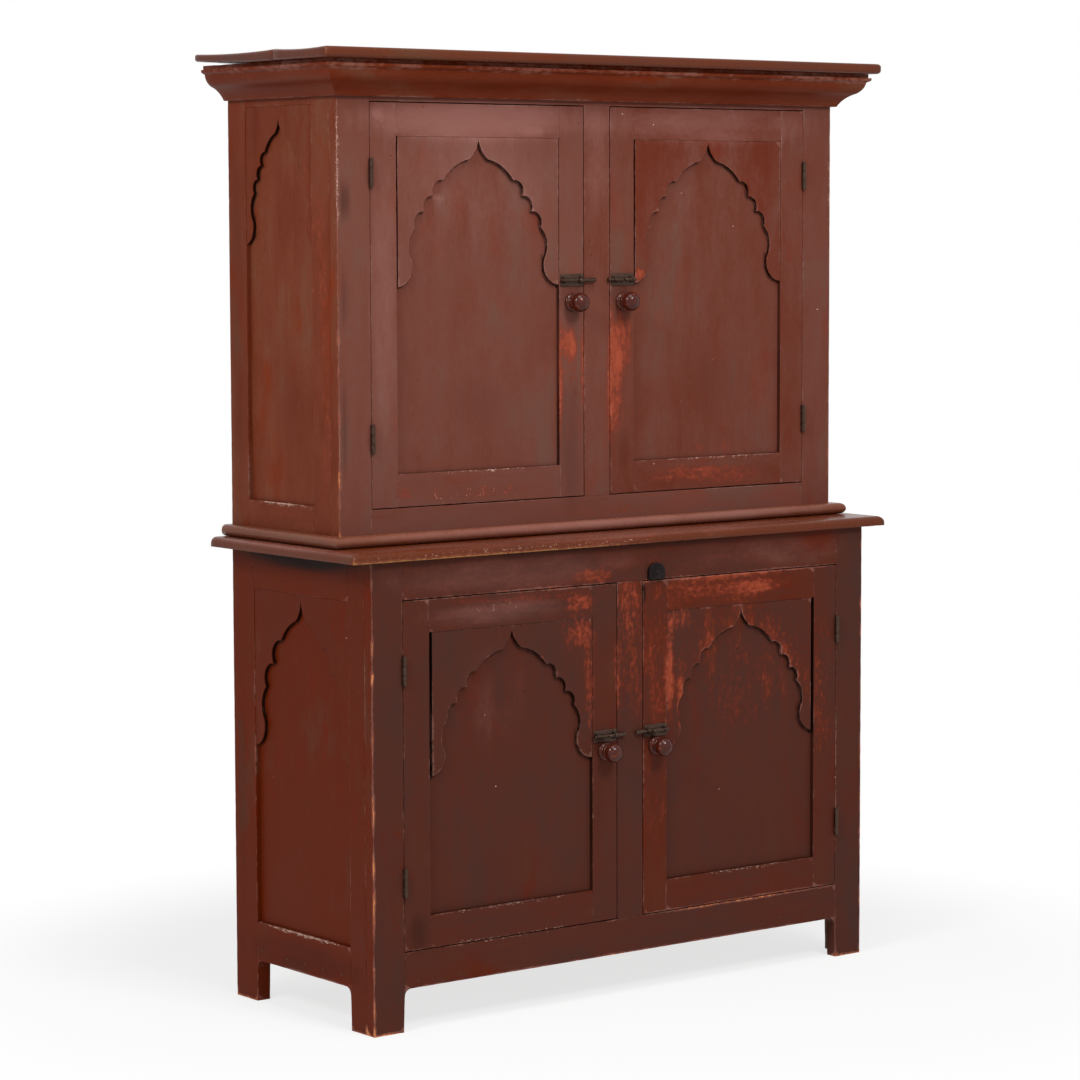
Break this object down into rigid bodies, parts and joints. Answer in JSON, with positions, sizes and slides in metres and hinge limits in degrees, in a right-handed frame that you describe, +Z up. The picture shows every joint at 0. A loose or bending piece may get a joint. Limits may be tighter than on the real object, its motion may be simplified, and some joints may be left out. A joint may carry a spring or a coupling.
{
  "type": "step-back cupboard",
  "caption": "Painted step-back cupboard with hinged doors and sides of scalloped arched panels, sliding bolts, a turn button, a counter ledge and a moulded cornice.",
  "frame": {"origin": "on the floor, under the middle of the bounding box", "axes": "+X to the right as seen from the front, +Y to the back, +Z up"},
  "size_m": [1.41, 0.526, 1.88],
  "materials": {
    "painted_pine": "worn brown-red paint over orange-red on pine",
    "bare_pine": "bare aged pine",
    "wrought_iron": "dark iron with a little rust",
    "turned_knob": "turned wood, glossy dark red-brown",
    "slate_button": "wood with dull dark paint"
  },
  "bodies": {
    "case": {"lower_face_frame": "painted_pine", "upper_face_frame": "painted_pine", "counter_top": "painted_pine", "cornice_top": "painted_pine", "crown_moulding": "painted_pine", "waist_moulding": "painted_pine", "lower_floor": "bare_pine", "lower_shelf": "bare_pine", "upper_shelf": "bare_pine", "lower_back_boards": "bare_pine", "upper_back_boards": "bare_pine", "lower_left_side_frame": "painted_pine", "lower_left_side_panel": "painted_pine", "lower_left_top_hinge_case_leaf": "wrought_iron", "lower_left_bottom_hinge_case_leaf": "wrought_iron", "lower_right_side_frame": "painted_pine", "lower_right_side_panel": "painted_pine", "lower_right_top_hinge_case_leaf": "wrought_iron", "lower_right_bottom_hinge_case_leaf": "wrought_iron", "upper_left_side_frame": "painted_pine", "upper_left_side_panel": "painted_pine", "upper_left_top_hinge_case_leaf": "wrought_iron", "upper_left_bottom_hinge_case_leaf": "wrought_iron", "upper_right_side_frame": "painted_pine", "upper_right_side_panel": "painted_pine", "upper_right_top_hinge_case_leaf": "wrought_iron", "upper_right_bottom_hinge_case_leaf": "wrought_iron"},
    "lower_left_door": {"lower_left_door_frame": "painted_pine", "lower_left_door_panel": "painted_pine", "lower_left_door_fret": "painted_pine", "lower_left_door_knob": "turned_knob", "lower_left_bolt_plate": "wrought_iron", "lower_left_top_hinge_door_leaf": "wrought_iron", "lower_left_bottom_hinge_door_leaf": "wrought_iron"},
    "lower_left_bolt_slide": {"lower_left_bolt": "wrought_iron"},
    "lower_right_door": {"lower_right_door_frame": "painted_pine", "lower_right_door_panel": "painted_pine", "lower_right_door_fret": "painted_pine", "lower_right_door_knob": "turned_knob", "lower_right_bolt_plate": "wrought_iron", "lower_right_top_hinge_door_leaf": "wrought_iron", "lower_right_bottom_hinge_door_leaf": "wrought_iron"},
    "lower_right_bolt_slide": {"lower_right_bolt": "wrought_iron"},
    "upper_left_door": {"upper_left_door_frame": "painted_pine", "upper_left_door_panel": "painted_pine", "upper_left_door_fret": "painted_pine", "upper_left_door_knob": "turned_knob", "upper_left_bolt_plate": "wrought_iron", "upper_left_top_hinge_door_leaf": "wrought_iron", "upper_left_bottom_hinge_door_leaf": "wrought_iron"},
    "upper_left_bolt_slide": {"upper_left_bolt": "wrought_iron"},
    "upper_right_door": {"upper_right_door_frame": "painted_pine", "upper_right_door_panel": "painted_pine", "upper_right_door_fret": "painted_pine", "upper_right_door_knob": "turned_knob", "upper_right_bolt_plate": "wrought_iron", "upper_right_top_hinge_door_leaf": "wrought_iron", "upper_right_bottom_hinge_door_leaf": "wrought_iron"},
    "upper_right_bolt_slide": {"upper_right_bolt": "wrought_iron"},
    "turn_button": {"turn_button": "slate_button"}
  },
  "joints": [
    {"name": "lower_left_door_hinge", "type": "hinge", "parent": "case", "child": "lower_left_door", "pos_m": [-0.557, -0.2235, 0.157], "axis": [0, 0, -1], "range_deg": [0, 170]},
    {"name": "lower_left_bolt", "type": "slide", "parent": "lower_left_door", "child": "lower_left_bolt_slide", "axis": [-1, 0, 0], "range_m": [0, 0.019]},
    {"name": "lower_right_door_hinge", "type": "hinge", "parent": "case", "child": "lower_right_door", "pos_m": [0.557, -0.2235, 0.157], "axis": [0, 0, 1], "range_deg": [0, 170]},
    {"name": "lower_right_bolt", "type": "slide", "parent": "lower_right_door", "child": "lower_right_bolt_slide", "axis": [1, 0, 0], "range_m": [0, 0.025]},
    {"name": "upper_left_door_hinge", "type": "hinge", "parent": "case", "child": "upper_left_door", "pos_m": [-0.553, -0.1195, 1.0033], "axis": [0, 0, -1], "range_deg": [0, 170]},
    {"name": "upper_left_bolt", "type": "slide", "parent": "upper_left_door", "child": "upper_left_bolt_slide", "axis": [-1, 0, 0], "range_m": [0, 0.028]},
    {"name": "upper_right_door_hinge", "type": "hinge", "parent": "case", "child": "upper_right_door", "pos_m": [0.553, -0.1195, 1.0033], "axis": [0, 0, 1], "range_deg": [0, 170]},
    {"name": "upper_right_bolt", "type": "slide", "parent": "upper_right_door", "child": "upper_right_bolt_slide", "axis": [1, 0, 0], "range_m": [0, 0.012]},
    {"name": "turn_button_pivot", "type": "hinge", "parent": "case", "child": "turn_button", "pos_m": [0.065, -0.2193, 0.8494], "axis": [0, -1, 0], "range_deg": [-180, 180]}
  ]
}
